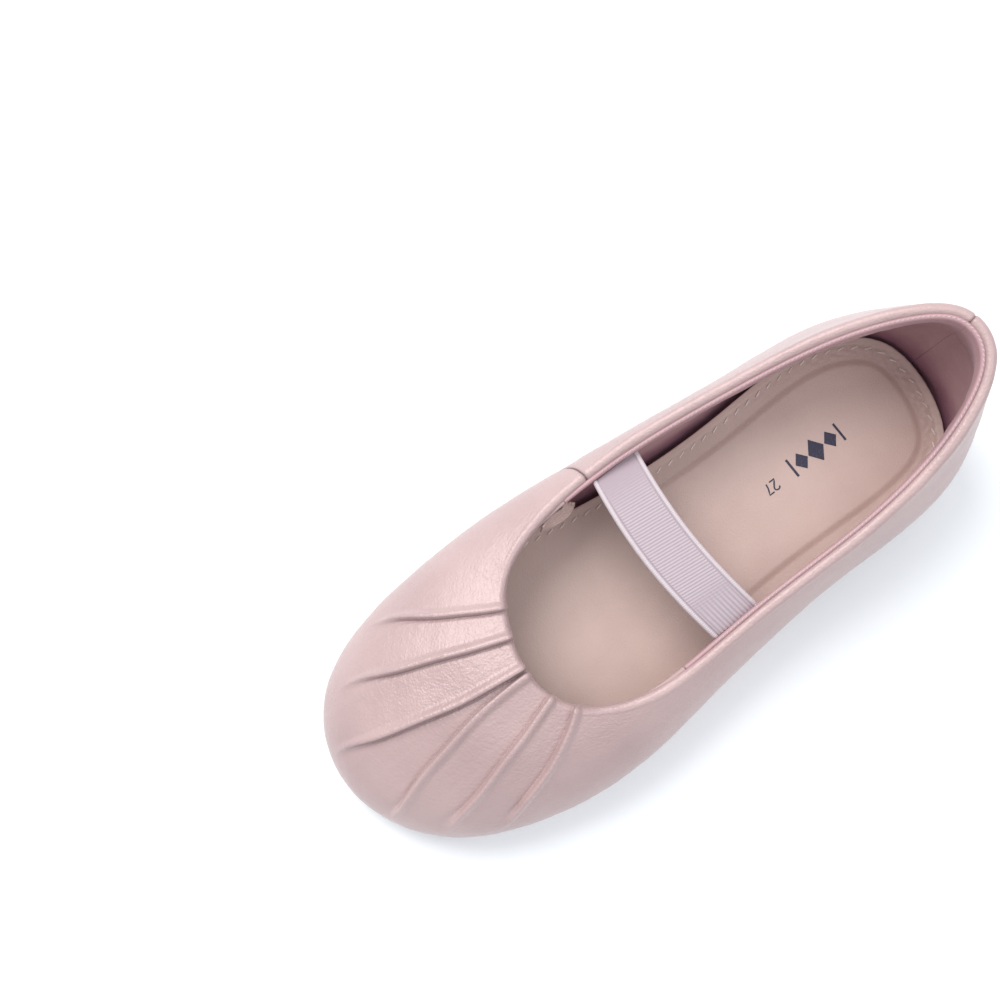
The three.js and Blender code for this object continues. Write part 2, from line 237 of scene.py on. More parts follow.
# Each pleat: station at the throat, station towards the toe, how low it runs, depth, and the side
# that its folded edge faces (+1 faces the outer side of the foot, -1 the inner side).
PLEATS = [
    (0.5780, 0.5885, 0.42, 1.25, +1),
    (0.5405, 0.5520, 0.36, 1.35, +1),
    (0.4960, 0.5185, 0.26, 1.45, +1),
    (0.4890, 0.4755, 0.20, 1.55, -1),
    (0.4430, 0.4490, 0.30, 1.45, -1),
    (0.4060, 0.4220, 0.34, 1.35, -1),
]
WELT_SHARE, WELT_WIDTH = 0.72, 0.90
PANEL_SHARE, PANEL_WIDTH = 0.55, 5.0
FOLD_LEAN = 0.34
FOLD_SHADE_MIDDLE, FOLD_SHADE_OUTER = 0.95, 0.10
TROUGH_MIDDLE, TROUGH_OUTER, TROUGH_END = 0.20, 0.08, 0.35
CRINKLE, CRINKLE_END = 0.05, 0.09
PLEAT_WANDER = 0.13


def pleat_relief(u, v, span):
    """Height of the pleats over the smooth leather, how far it leans over each fold, and the painted shade
    along each fold's crease.
    """
    height, lean, crease = np.zeros_like(u), np.zeros_like(u), np.zeros_like(u)
    for throat, toe_end, low, depth, side in PLEATS:
        line = throat + (toe_end - throat) * ease(1.02, low, v)
        s = (line - u) * span * side
        s = s + PLEAT_WANDER * np.sin(v * 21 + throat * 90) * ease(1.0, 0.7, v)
        fade = ease(low - 0.06, low + 0.26, v)
        soften = 1 - ease(low, low + 0.22, v)
        welt = WELT_SHARE * np.exp(-((s + 0.78) / WELT_WIDTH) ** 2)
        panel = PANEL_SHARE * np.exp(-((s + 0.6) / PANEL_WIDTH) ** 2)
        fall = ease(0.12 + 1.7 * soften, -0.42 - 0.4 * soften, s)
        trough = (TROUGH_MIDDLE if side > 0 else TROUGH_OUTER) + TROUGH_END * soften
        after = -trough * np.exp(-((s - 0.35 - soften) / (0.7 + 1.2 * soften)) ** 2)
        height += depth * fade * ((welt + panel) * fall + after * (s > -0.4))
        lean -= FOLD_LEAN * depth * fade * side * (1 - soften) * np.exp(-((s + 0.40) / 0.80) ** 2)
        # Painted shade along each fold's crease, at a strength set by the side that its fold faces.
        dark = FOLD_SHADE_MIDDLE if side > 0 else FOLD_SHADE_OUTER
        crease = np.maximum(crease, dark * fade * (1 - 0.5 * soften) * np.exp(-((s - 0.08) / 0.19) ** 2))
        beat = np.sin(v * 215 + 3.5 * np.sin(v * 31 + u * 420) + 2.0 * np.sin(u * 900 + v * 66))
        crinkle = beat * (0.55 + 0.45 * np.sin(v * 83 + throat * 60)) * np.exp(-((s + 0.9) / 0.9) ** 2)
        height += (CRINKLE + CRINKLE_END * soften) * fade * crinkle * ease(0.98, 0.80, v)
    return height, lean, crease


def upper_grid(u):
    """Outer skin of one leather panel from the turned-under edge to the inner side of the topline."""
    v = np.linspace(0, 1, WALL_ROWS)
    uu, vv = np.meshgrid(u, v, indexing="ij")
    skin = wall(uu, vv)
    roll_share = np.linspace(0, 1, ROLL_ROWS + 1)[1:]
    ru, rs = np.meshgrid(u, roll_share, indexing="ij")
    roll = rolled(ru, rs)
    hem = 2 * ROLL * (1 - toe_share(u))
    leg = np.stack([rim(u, hem, -ROLL - d) for d in HEM_DROPS], 1)
    tuck = np.stack([under(u, np.full_like(u, d), 0) for d in TUCK_INSETS], 1)
    g = np.concatenate([tuck, skin, roll, leg], 1)
    tucked, hemmed = len(TUCK_INSETS), len(HEM_DROPS)
    vs = np.concatenate([np.zeros(tucked), v, 1 + 0.04 * roll_share, np.full(hemmed, 1.05)])
    span = np.linalg.norm(np.gradient(g, axis=0), axis=-1) / np.gradient(u)[:, None]
    n = grid_normals(g)
    along = np.gradient(g, axis=0)
    along /= np.maximum(np.linalg.norm(along, axis=-1, keepdims=True), 1e-9)
    uu, vv = np.meshgrid(u, vs, indexing="ij")
    height, lean, crease = pleat_relief(uu, vv, span)
    rolled_off = 1 - 0.85 * ease(0.1, 0.8, roll_share)
    edge = np.concatenate([np.zeros(tucked), np.ones(WALL_ROWS), rolled_off, np.zeros(hemmed)])
    soft = 0.22 * ripple(g, 34, 4) + 0.07 * ripple(g, 9, 8) + 0.035 * ripple(g * (1, 1, 0.4), 3.4, 9)
    soft *= ease(0.0, 0.2, vv)
    seam = np.zeros_like(uu)
    for at in (0.0, 1.0, SIDE_SEAM):
        seam += np.exp(-((uu - at) * span / SEAM_WIDTH) ** 2)
    height = (height + soft) * edge - SEAM_DEPTH * np.clip(seam, 0, 1) * ease(0.02, 0.1, vv)
    g = g + n * height[..., None] + along * (lean * edge)[..., None]
    # The returned mark is painted shade, along the pleat creases and in the seam grooves.
    return g, np.clip(crease * edge + 0.5 * np.clip(seam, 0, 1), 0, 1)


def leather_thickness(g):
    """Inner skin of a leather panel, sunk along smoothed normals so that it never folds over."""
    n = grid_normals(g)
    for _ in range(4):
        n[1:-1] = (n[:-2] + 2 * n[1:-1] + n[2:]) / 4
        n[:, 1:-1] = (n[:, :-2] + 2 * n[:, 1:-1] + n[:, 2:]) / 4
    n /= np.linalg.norm(n, axis=-1, keepdims=True)
    return g - n * LEATHER


def spaced(*runs):
    """Stations from runs of (start, end, count), each run's end shared with the next run's start."""
    out = [np.linspace(a, b, n, endpoint=False) for a, b, n in runs]
    return np.concatenate(out + [[runs[-1][1]]])


def group_of(name, inputs, outputs):
    """An empty shader group with its sockets, and its input and output nodes."""
    g = bpy.data.node_groups.new(name, "ShaderNodeTree")
    for key, kind in inputs:
        g.interface.new_socket(name=key, in_out="INPUT", socket_type="NodeSocket" + kind)
    for key, kind in outputs:
        g.interface.new_socket(name=key, in_out="OUTPUT", socket_type="NodeSocket" + kind)
    return g, g.nodes.new("NodeGroupInput"), g.nodes.new("NodeGroupOutput")


def multiply_add(g, value, by, plus):
    """value * by + plus, each a socket or a number."""
    node = g.nodes.new("ShaderNodeMath")
    node.operation = "MULTIPLY_ADD"
    for slot_number, x in enumerate((value, by, plus)):
        if isinstance(x, (int, float)):
            node.inputs[slot_number].default_value = x
        else:
            g.links.new(x, node.inputs[slot_number])
    return node.outputs[0]


def noise(g, place, scale, detail, distortion=0.0):
    """Soft cloudy noise, at a scale that is a socket or a number."""
    node = g.nodes.new("ShaderNodeTexNoise")
    node.inputs["Detail"].default_value = detail
    node.inputs["Distortion"].default_value = distortion
    g.links.new(place, node.inputs["Vector"])
    if isinstance(scale, (int, float)):
        node.inputs["Scale"].default_value = scale
    else:
        g.links.new(scale, node.inputs["Scale"])
    return node.outputs["Fac"]


def blend_colour(g, amount, first, second):
    """A mix of two colours, each a socket or a triple."""
    node = g.nodes.new("ShaderNodeMix")
    node.data_type = "RGBA"
    g.links.new(amount, node.inputs["Factor"])
    for key, x in (("A", first), ("B", second)):
        if isinstance(x, tuple):
            node.inputs[key].default_value = (*x, 1)
        else:
            g.links.new(x, node.inputs[key])
    return node.outputs["Result"]


def ranged(g, value, low, high, to_low=0.0, to_high=1.0):
    """A value's stretch from low to high, spread from to_low to to_high."""
    node = g.nodes.new("ShaderNodeMapRange")
    g.links.new(value, node.inputs["Value"])
    for key, x in (("From Min", low), ("From Max", high), ("To Min", to_low), ("To Max", to_high)):
        if isinstance(x, (int, float)):
            node.inputs[key].default_value = x
        else:
            g.links.new(x, node.inputs[key])
    return node.outputs["Result"]


def hide_finish_group():
    """Pebble grain, pores, fine wrinkles lying along the cut, soft clouds of colour and gloss, and painted
    shade darkened in by the crease mark.
    """
    g, gi, go = group_of(
        "hide_finish",
        [("Place", "Vector"), ("Cut", "Vector"), ("Crease", "Float"), ("Pebbles per metre", "Float"),
         ("Wrinkle", "Float"), ("Light", "Color"), ("Dark", "Color"), ("Crease shade", "Color"),
         ("Smoothest", "Float"), ("Roughest", "Float")],
        [("Colour", "Color"), ("Roughness", "Float"), ("Height", "Float")])
    pebble = g.nodes.new("ShaderNodeTexVoronoi")
    pebble.feature = "SMOOTH_F1"
    g.links.new(gi.outputs["Place"], pebble.inputs["Vector"])
    g.links.new(gi.outputs["Pebbles per metre"], pebble.inputs["Scale"])
    pores = multiply_add(g, gi.outputs["Pebbles per metre"], 1.7, 0.0)
    fine = noise(g, gi.outputs["Place"], pores, 4)
    lay = g.nodes.new("ShaderNodeMapping")
    lay.inputs["Rotation"].default_value = (0, 0, 0.35)
    lay.inputs["Scale"].default_value = (0.34, 1, 1)
    g.links.new(gi.outputs["Cut"], lay.inputs["Vector"])
    wrinkle = noise(g, lay.outputs["Vector"], 1400, 3, 0.9)
    grain = multiply_add(g, fine, 0.45, pebble.outputs["Distance"])
    g.links.new(multiply_add(g, wrinkle, gi.outputs["Wrinkle"], grain), go.inputs["Height"])
    cloud = noise(g, gi.outputs["Place"], 42, 3)
    hue = blend_colour(g, ranged(g, cloud, 0.3, 0.62), gi.outputs["Dark"], gi.outputs["Light"])
    # Painted shade: the crease mark blends the colour towards the crease shade colour.
    painted_shade = multiply_add(g, gi.outputs["Crease"], 0.6, 0.0)
    g.links.new(blend_colour(g, painted_shade, hue, gi.outputs["Crease shade"]), go.inputs["Colour"])
    gloss = ranged(g, cloud, 0.25, 0.75, gi.outputs["Smoothest"], gi.outputs["Roughest"])
    g.links.new(gloss, go.inputs["Roughness"])
    return g


hide_finish = hide_finish_group()


def plain_material(name):
    """A new material, its node tree and its surface shader."""
    mat = bpy.data.materials.new(name)
    mat.use_nodes = True
    return mat, mat.node_tree, mat.node_tree.nodes["Principled BSDF"]


def raise_relief(tree, height, skin, strength, distance):
    """Bump on a material from a height in shares of the distance, in metres."""
    bump = tree.nodes.new("ShaderNodeBump")
    bump.inputs["Strength"].default_value = strength
    bump.inputs["Distance"].default_value = distance
    tree.links.new(height, bump.inputs["Height"])
    tree.links.new(bump.outputs["Normal"], skin.inputs["Normal"])


def leather(name, light, dark, crease_shade, gloss, grain_depth, pearl, coat, pebbles=1500.0, wrinkle=0.3):
    """A finished leather: colour clouds, painted shade in its creases, pebble grain and a soft uneven gloss.
    """
    mat, tree, skin = plain_material(name)
    place, crease = tree.nodes.new("ShaderNodeTexCoord"), tree.nodes.new("ShaderNodeAttribute")
    crease.attribute_name = "crease"
    hide = tree.nodes.new("ShaderNodeGroup")
    hide.node_tree = hide_finish
    for key, value in (("Pebbles per metre", pebbles), ("Wrinkle", wrinkle), ("Light", (*light, 1)),
                       ("Dark", (*dark, 1)), ("Crease shade", (*crease_shade, 1)), ("Smoothest", gloss - 0.06),
                       ("Roughest", gloss + 0.08)):
        hide.inputs[key].default_value = value
    tree.links.new(place.outputs["Object"], hide.inputs["Place"])
    tree.links.new(place.outputs["UV"], hide.inputs["Cut"])
    tree.links.new(crease.outputs["Fac"], hide.inputs["Crease"])
    tree.links.new(hide.outputs["Colour"], skin.inputs["Base Color"])
    tree.links.new(hide.outputs["Roughness"], skin.inputs["Roughness"])
    raise_relief(tree, hide.outputs["Height"], skin, 0.55, grain_depth)
    skin.inputs["Metallic"].default_value = pearl
    skin.inputs["Coat Weight"].default_value = coat
    skin.inputs["Coat Roughness"].default_value = 0.34
    skin.inputs["Sheen Weight"].default_value = 0.12
    skin.inputs["Sheen Roughness"].default_value = 0.4
    return mat


# Its crease shade colour is painted shade, laid in by the crease mark.
nappa = leather(
    "rose_nappa", light=(0.452, 0.325, 0.318), dark=(0.395, 0.277, 0.275), crease_shade=(0.14, 0.065, 0.078),
    gloss=0.41, grain_depth=0.00015, pearl=0.08, coat=0.15, pebbles=1700.0, wrinkle=1.6)
SEAM_GAP = 0.0001
PLEATS_FROM, PLEATS_TO = 0.37, 0.63

toe_stations = (PLEATS_FROM, PLEATS_TO, 740)
vamp_stations = spaced((SEAM_GAP, PLEATS_FROM, 190), toe_stations, (PLEATS_TO, SIDE_SEAM - SEAM_GAP, 60))
grid, crease = upper_grid(vamp_stations)
vamp = sew_sheet("vamp_leather", grid, leather_thickness(grid), marks={"crease": crease})
grid, crease = upper_grid(spaced((SIDE_SEAM + SEAM_GAP, 1 - SEAM_GAP, 200)))
inner_quarter = sew_sheet("inner_quarter_leather", grid, leather_thickness(grid), marks={"crease": crease})
for piece, node in ((vamp, "vamp"), (inner_quarter, "inner_quarter")):
    piece.data.materials.append(nappa)
    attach(piece, "shoe")
    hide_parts(node)

# ---------------------------------------------------------------- linings
# The quarters are lined with smooth mauve-beige leather in two pieces that meet at the back seam.
# The forepart is lined with twill cloth. Their top edges are folded into a soft bead beside the
# turned topline and sewn to it.
LINING = 0.7
LINING_SET, LINING_SET_TOP = 2.3, 0.8
LINING_OUTER = 0.30
LINING_INNER = 0.69
LINING_JOIN = 0.0002
LINING_BACK_GAP = 0.00002
BEAD_BULK = 0.28

HEM_SIDE = ((3.15, -5.0), (3.1, -4.0), (3.05, -3.0), (2.96, -1.9), (2.76, -0.8))
HEM_TOE = ((-4.2, -4.4), (-3.2, -4.1), (-2.2, -3.7), (-1.3, -3.3), (-0.85, -2.9))


def lining_grid(u):
    """Outer face of a lining panel, from under the sock to its sewn top edge."""
    v = np.linspace(0.06, 0.80, 40)
    uu, vv = np.meshgrid(u, v, indexing="ij")
    skin = wall(uu, vv)
    skin = skin - grid_normals(skin) * (LINING_SET + LINING_SET_TOP * ease(0.66, 0.82, vv))[..., None]
    w = ease(0.2, 0.8, toe_share(u))
    hem = []
    for (side_in, side_z), (toe_in, toe_z) in zip(HEM_SIDE, HEM_TOE):
        side_in = side_in - 2 * ROLL * toe_share(u)
        hem.append(rim(u, side_in + (toe_in - side_in) * w, side_z + (toe_z - side_z) * w))
    toe = [under(u, np.full_like(u, 6.5), 1.5), under(u, np.full_like(u, 3.6), 1.5)]
    g = np.concatenate([np.stack(toe, 1), skin, np.stack(hem, 1)], 1)
    share = np.concatenate([[0, 0], v, np.linspace(0.85, 1, 5)])
    ss = np.meshgrid(u, share, indexing="ij")[1]
    rough = 0.22 * ripple(g, 13, 21) + 0.09 * ripple(g, 4, 22)
    return g - grid_normals(g) * (rough * ease(0, 0.15, ss) * ease(0.98, 0.8, ss))[..., None], ss


def lining_piece(name, node, stations, mat):
    """One lining panel, with shade marked low down and its plain folded hem marked at the top."""
    g, ss = lining_grid(stations)
    n = grid_normals(g)
    inner = g - n * LINING
    bead = np.exp(-((ss - 0.975) / 0.035) ** 2)
    inner = inner - n * (BEAD_BULK * bead)[..., None]
    # Painted shade, deepest low down by the sock.
    painted_shade = 1 - ease(0.14, 0.34, ss)
    piece = sew_sheet(name, g, inner, marks={"crease": np.clip(painted_shade, 0, 1), "hem": ease(0.80, 0.86, ss)})
    piece.data.materials.append(mat)
    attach(piece, "shoe")
    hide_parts(node)
    return piece


# Its crease shade colour is the painted shade low inside the shoe.
lining_leather = leather(
    "lining_leather", light=(0.47, 0.29, 0.305), dark=(0.39, 0.235, 0.255), crease_shade=(0.15, 0.02, 0.08),
    gloss=0.50, grain_depth=0.00009, pearl=0.0, coat=0.05, pebbles=2100.0, wrinkle=0.7)

TWILL_SCALE = 480.0
TWILL_SLANT = 32
TWILL_LOW, TWILL_HIGH = (0.38, 0.21, 0.23), (0.58, 0.385, 0.38)
HEM_TINT = (0.44, 0.31, 0.305)
lining_cloth, tree, cloth = plain_material("twill_cloth")
cut = tree.nodes.new("ShaderNodeUVMap")
cut.uv_map = "cut"
turn = tree.nodes.new("ShaderNodeMapping")
turn.inputs["Rotation"].default_value = (0, 0, math.radians(TWILL_SLANT))
tree.links.new(cut.outputs["UV"], turn.inputs["Vector"])
twill = tree.nodes.new("ShaderNodeTexWave")
twill.inputs["Scale"].default_value = TWILL_SCALE
twill.inputs["Distortion"].default_value = 0.6
twill.inputs["Detail"].default_value = 2
tree.links.new(turn.outputs["Vector"], twill.inputs["Vector"])
weave = blend_colour(tree, twill.outputs["Fac"], TWILL_LOW, TWILL_HIGH)
hem_mark = tree.nodes.new("ShaderNodeAttribute")
hem_mark.attribute_name = "hem"
weave = blend_colour(tree, hem_mark.outputs["Fac"], weave, HEM_TINT)
tree.links.new(weave, cloth.inputs["Base Color"])
shown = ranged(tree, hem_mark.outputs["Fac"], 0.0, 1.0, 1.0, 0.0)
raised = multiply_add(tree, twill.outputs["Fac"], shown, 0.0)
raise_relief(tree, raised, cloth, strength=0.6, distance=0.00012)
cloth.inputs["Roughness"].default_value = 0.85

lining_piece("outer_quarter_lining_leather", "outer_quarter_lining",
             spaced((LINING_BACK_GAP, LINING_OUTER - LINING_JOIN, 240)), lining_leather)
lining_piece("inner_quarter_lining_leather", "inner_quarter_lining",
             spaced((LINING_INNER + LINING_JOIN, 1 - LINING_BACK_GAP, 240)), lining_leather)
forepart_stations = spaced((LINING_OUTER + LINING_JOIN, LINING_INNER - LINING_JOIN, 300))
forepart = lining_piece("vamp_lining_cloth", "vamp_lining", forepart_stations, lining_cloth)

# ---------------------------------------------------------------- sock
# The sock is one piece of beige-pink leather glued over the board and the heel pad. Its edge
# curls up against the lining, the pad shows as a raised step, and a row of slanted stitches
# runs along the band outside the pad.
SOCK_BASE = 4.2
SOCK = 0.8
SOCK_EDGE = 3.1
PAD_INSET = 9.4
PAD_RISE = 0.6
ARCH_RISE = 1.1
EDGE_CURL = 0.9
DISH = 0.4


def sock_grid(count_along, count_across):
    """Points of the sock between the two sides of the foot, closer together near its edge."""
    u = (1 - np.cos(np.pi * np.linspace(0, 1, count_along))) / 4
    r = np.linspace(-1, 1, count_across)
    r = np.sign(r) * np.abs(r) ** 0.8
    a, b = under(u, np.full_like(u, SOCK_EDGE), 0), under(1 - u, np.full_like(u, SOCK_EDGE), 0)
    rr = (r[None, :, None] + 1) / 2
    return a[:, None] * (1 - rr) + b[:, None] * rr


def edge_distance(g):
    """How far each point of the sock is from the feather edge."""
    around = feather(np.linspace(0, 1, 1200, endpoint=False))
    flat = g[..., :2].reshape(-1, 2)
    out = np.empty(len(flat))
    for k in range(0, len(flat), 4000):
        d = flat[k:k + 4000, None] - around[None]
        out[k:k + 4000] = np.sqrt((d**2).sum(-1).min(1))
    return out.reshape(g.shape[:-1])


def pad_mask(x, inset):
    """1 on the raised heel and arch pad, 0 outside it."""
    return ease(PAD_INSET - 1.0, PAD_INSET + 1.1, inset) * (1 - ease(-22, 0, x))


def sock_top(x, y):
    """Level of the sock's top side at any place under the foot."""
    inset = edge_distance(np.stack([x, y], -1))
    rear = 1 - ease(-14, 20, x)
    curl = EDGE_CURL * (1 - ease(SOCK_EDGE, SOCK_EDGE + 2.2, inset)) ** 2
    dish = -DISH * ease(0, 22, inset)
    pad = PAD_RISE * rear * pad_mask(x, inset)
    return floor_rise(x) + SOCK_BASE + SOCK + ARCH_RISE * rear + pad + curl + dish + DISH


top = sock_grid(300, 150)
top[..., 2] = sock_top(top[..., 0], top[..., 1])
inset = edge_distance(top)
border = (1 - ease(PAD_INSET - 2.2, PAD_INSET - 0.8, inset)) * (1 - ease(-70, -25, top[..., 0]))
top[..., 2] += 0.07 * ripple(top, 26, 31) + 0.02 * ripple(top, 7, 32) + 0.09 * border * ripple(top, 1.6, 33)
low = top.copy()
low[..., 2] -= SOCK
# Painted shade: the crease mark darkens the sock's edge where it meets the lining, and faintly the pad's
# step.
step_line = np.exp(-((inset - PAD_INSET + 0.55) / 0.2) ** 2) * (1 - ease(-24, -10, top[..., 0]))
rim_line = 1 - ease(SOCK_EDGE, SOCK_EDGE + 0.5, inset)
sock = sew_sheet("sock_leather", top, low, marks={"crease": np.clip(0.05 * step_line + rim_line, 0, 1)})
sock_leather = leather(
    "sock_leather", light=(0.520, 0.388, 0.345), dark=(0.458, 0.335, 0.298), crease_shade=(0.20, 0.07, 0.09),
    gloss=0.52, grain_depth=0.00008, pearl=0.0, coat=0.05, pebbles=2600.0, wrinkle=0.6)
sock.data.materials.append(sock_leather)
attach(sock, "shoe")
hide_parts("sock_liner")

# ---------------------------------------------------------------- printing on the sock
# The size number and a plain ornament of three lozenges between bars, printed in navy ink on
# the heel part of the sock. Each stroke is a film of ink laid on the leather.
INK_LIFT = 0.03
INK_FILM = 0.02
ORNAMENT_PLACE = (-50.9, 2.2)
NUMBER_PLACE = (-36.3, 2.8)
NUMBER_HEIGHT = 2.8
NUMBER_STROKE = 0.36
LOZENGES = ((-4.6, 1.9, 2.4), (0, 2.4, 3.3), (4.6, 1.9, 2.4))
BARS = ((-7.6, 0.3, 2.6), (7.6, 0.3, 2.6))
DIGIT_TWO = [(-0.30, 0.30), (-0.27, 0.42), (-0.14, 0.5), (0.02, 0.5), (0.16, 0.42), (0.2, 0.28), (0.14, 0.12),
             (-0.02, -0.1), (-0.18, -0.3), (-0.3, -0.48), (0.24, -0.48)]
DIGIT_SEVEN = [(-0.26, 0.48), (0.26, 0.48), (0.12, 0.2), (0.0, -0.1), (-0.06, -0.5)]


def ribbon(points, width):
    """Outline of a stroke of even width along a bent line."""
    p = np.array(points, float)
    d = np.gradient(p, axis=0)
    d /= np.linalg.norm(d, axis=1, keepdims=True)
    n = np.stack([-d[:, 1], d[:, 0]], 1) * width / 2
    return np.concatenate([p + n, (p - n)[::-1]])


def lozenge(x, wide, high):
    return np.array([(x - wide, 0), (x, -high), (x + wide, 0), (x, high)], float)


def bar(x, wide, high):
    return np.array([(x - wide, -high), (x + wide, -high), (x + wide, high), (x - wide, high)], float)


shapes = []
for digit, across in ((DIGIT_TWO, -0.9), (DIGIT_SEVEN, 0.9)):
    stroke = ribbon(np.array(digit) * NUMBER_HEIGHT, NUMBER_STROKE)
    shapes.append(("strip", stroke + np.array([across, 0]) + NUMBER_PLACE))
for x, wide, high in LOZENGES:
    shapes.append(("fan", lozenge(x, wide, high) + ORNAMENT_PLACE))
for x, wide, high in BARS:
    shapes.append(("fan", bar(x, wide, high) + ORNAMENT_PLACE))
verts, faces = [], []
for kind, outline in shapes:
    n = len(outline)
    base = len(verts)
    ground = sock_top(outline[:, 0], outline[:, 1]) + 0.05
    for level in (INK_LIFT + INK_FILM, INK_LIFT - 0.15):
        verts += [(x, y, z + level) for (x, y), z in zip(outline, ground)]
    if kind == "fan":
        faces += [tuple(base + k for k in range(n)), tuple(base + n + k for k in reversed(range(n)))]
    else:
        for k in range(n // 2 - 1):
            quad = (base + k, base + k + 1, base + n - 2 - k, base + n - 1 - k)
            faces += [quad[::-1], tuple(q + n for q in quad)]
    step = range(n)
    faces += [(base + k, base + n + k, base + n + (k + 1) % n, base + (k + 1) % n) for k in step]
marks = piece_of("printed_marks", verts, faces, smooth=False)
ink, tree, film = plain_material("navy_ink")
place = tree.nodes.new("ShaderNodeTexCoord")
wear = noise(tree, place.outputs["Object"], 2200, 3)
worn_ink = blend_colour(tree, ranged(tree, wear, 0.55, 0.75), (0.010, 0.008, 0.035), (0.05, 0.035, 0.07))
tree.links.new(worn_ink, film.inputs["Base Color"])
film.inputs["Roughness"].default_value = 0.5
marks.data.materials.append(ink)
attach(marks, "shoe")

# ---------------------------------------------------------------- elastic strap
# Woven elastic across the instep: two rounded selvedges and a web of fine cross ribs. Its ends
# go down between the turned topline and the lining, where they are sewn in.
STRAP_WIDTH = 13.5
STRAP_X = -5.5
STRAP_BOW = 2.5
STRAP_TOP = 34.2
STRAP_STATION_OUT = 0.262
STRAP_STATION_IN = 0.738
STRAP_INSET, STRAP_DROP = 3.55, 3.4
SELVEDGE = 1.3
SELVEDGE_HALF, WEB_HALF, RIM_HALF = 0.74, 0.44, 0.06
RIB_PITCH, RIB_HEIGHT, RIB_SKEW = 0.75, 0.17, 0.12
CORD_PITCH, CORD_HEIGHT = 1.05, 0.20
WEB_TINT, RIB_SHADE, SELVEDGE_TINT = (0.445, 0.38, 0.41), (0.34, 0.27, 0.305), (0.54, 0.47, 0.495)
YARN_SHADE = (0.30, 0.235, 0.26)


def strap_line(s, inward, drop):
    """The middle line of the strap, bowed forward and arched over the instep."""
    out = rim(np.array(STRAP_STATION_OUT), np.array(inward), -drop)
    inn = rim(np.array(STRAP_STATION_IN), np.array(inward), -drop)
    y = inn[1] + (out[1] - inn[1]) * (s + 1) / 2
    end = inn[2] + (out[2] - inn[2]) * (s + 1) / 2
    z = end + (STRAP_TOP - end) * (1 - np.abs(s) ** 3.2)
    return np.stack([STRAP_X + STRAP_BOW * (1 - s * s), y, z], -1)


s = np.linspace(-1, 1, 420)
line = strap_line(s, STRAP_INSET, STRAP_DROP)
run = np.gradient(line, axis=0)
run /= np.linalg.norm(run, axis=-1, keepdims=True)
upright = np.stack([np.zeros_like(s), -run[:, 2], run[:, 1]], -1)
upright /= np.linalg.norm(upright, axis=-1, keepdims=True)
near_edge = 0.24 * np.linspace(0, 1, 20, endpoint=False) ** 1.2
far_edge = 0.24 * np.linspace(1, 0, 21)[1:] ** 1.2
across = np.concatenate([-1 + near_edge, np.linspace(-0.76, 0.76, 70), 1 - far_edge])
length = np.concatenate([[0], np.cumsum(np.linalg.norm(np.diff(line, axis=0), axis=-1))])
edge = (1 - np.abs(across)) * STRAP_WIDTH / 2
selvedge = np.sqrt(np.clip(1 - ((edge - SELVEDGE / 2) / (SELVEDGE / 2)) ** 2, 0, 1)) * (edge < SELVEDGE)
web = WEB_HALF * ease(1.1, 1.5, edge)
half = np.maximum(RIM_HALF, np.maximum(SELVEDGE_HALF * selvedge, web))
skewed = length[:, None] + RIB_SKEW * across[None] * STRAP_WIDTH / 2
ribs = 1 - (0.5 - 0.5 * np.cos(2 * np.pi * skewed / RIB_PITCH)) ** 2.5
rib_share = (ease(-0.95, -0.45, s) * (1 - ease(0.45, 0.8, s)))[:, None]
cords = 1 - (0.5 - 0.5 * np.cos(2 * np.pi * across * STRAP_WIDTH / 2 / CORD_PITCH)[None]) ** 2.5
cord_share = ease(0.45, 0.85, s)[:, None]
inside = ease(SELVEDGE, 1.65, edge)[None]
groove = 0.9 * np.exp(-((edge - 1.35) / 0.22) ** 2)[None]
relief = inside * (RIB_HEIGHT * ribs * rib_share + CORD_HEIGHT * cords * cord_share)
fine_selvedge = 0.05 * np.cos(2 * np.pi * length / 0.5)[:, None] * (edge < 1.2)[None] * selvedge[None]
rows = line[:, None] + np.array([1.0, 0, 0]) * (across * STRAP_WIDTH / 2)[None, :, None]
strap_over = rows + upright[:, None] * (half[None] + relief + fine_selvedge)[..., None]
strap_under = rows - upright[:, None] * (half[None] + relief + fine_selvedge)[..., None]
rib_shade = np.maximum(inside * (1 - np.maximum(ribs * rib_share, cords * cord_share)), groove)
selvedge_mark = np.ones((len(s), 1)) * (1 - ease(0.9, SELVEDGE, edge))[None]
strap = sew_sheet("elastic_strap_web", strap_over, strap_under,
                  marks={"rib": rib_shade, "selvedge": selvedge_mark})
elastic, tree, yarn = plain_material("woven_elastic")
cut = tree.nodes.new("ShaderNodeUVMap")
cut.uv_map = "cut"
draw = tree.nodes.new("ShaderNodeMapping")
draw.inputs["Scale"].default_value = (1, 0.25, 1)
tree.links.new(cut.outputs["UV"], draw.inputs["Vector"])
fibres = noise(tree, draw.outputs["Vector"], 2600, 3)
rib_mark, edge_mark = tree.nodes.new("ShaderNodeAttribute"), tree.nodes.new("ShaderNodeAttribute")
rib_mark.attribute_name, edge_mark.attribute_name = "rib", "selvedge"
web_tint = blend_colour(tree, rib_mark.outputs["Fac"], WEB_TINT, RIB_SHADE)
yarn_tint = blend_colour(tree, edge_mark.outputs["Fac"], web_tint, SELVEDGE_TINT)
fleck = ranged(tree, fibres, 0.35, 0.75, 0.0, 0.22)
tree.links.new(blend_colour(tree, fleck, yarn_tint, YARN_SHADE), yarn.inputs["Base Color"])
raise_relief(tree, fibres, yarn, strength=0.5, distance=0.00008)
yarn.inputs["Roughness"].default_value = 0.7
yarn.inputs["Sheen Weight"].default_value = 0.25
yarn.inputs["Sheen Roughness"].default_value = 0.5
strap.data.materials.append(elastic)
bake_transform(strap)
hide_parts("elastic_strap", "strap_end_outer", "strap_end_inner")

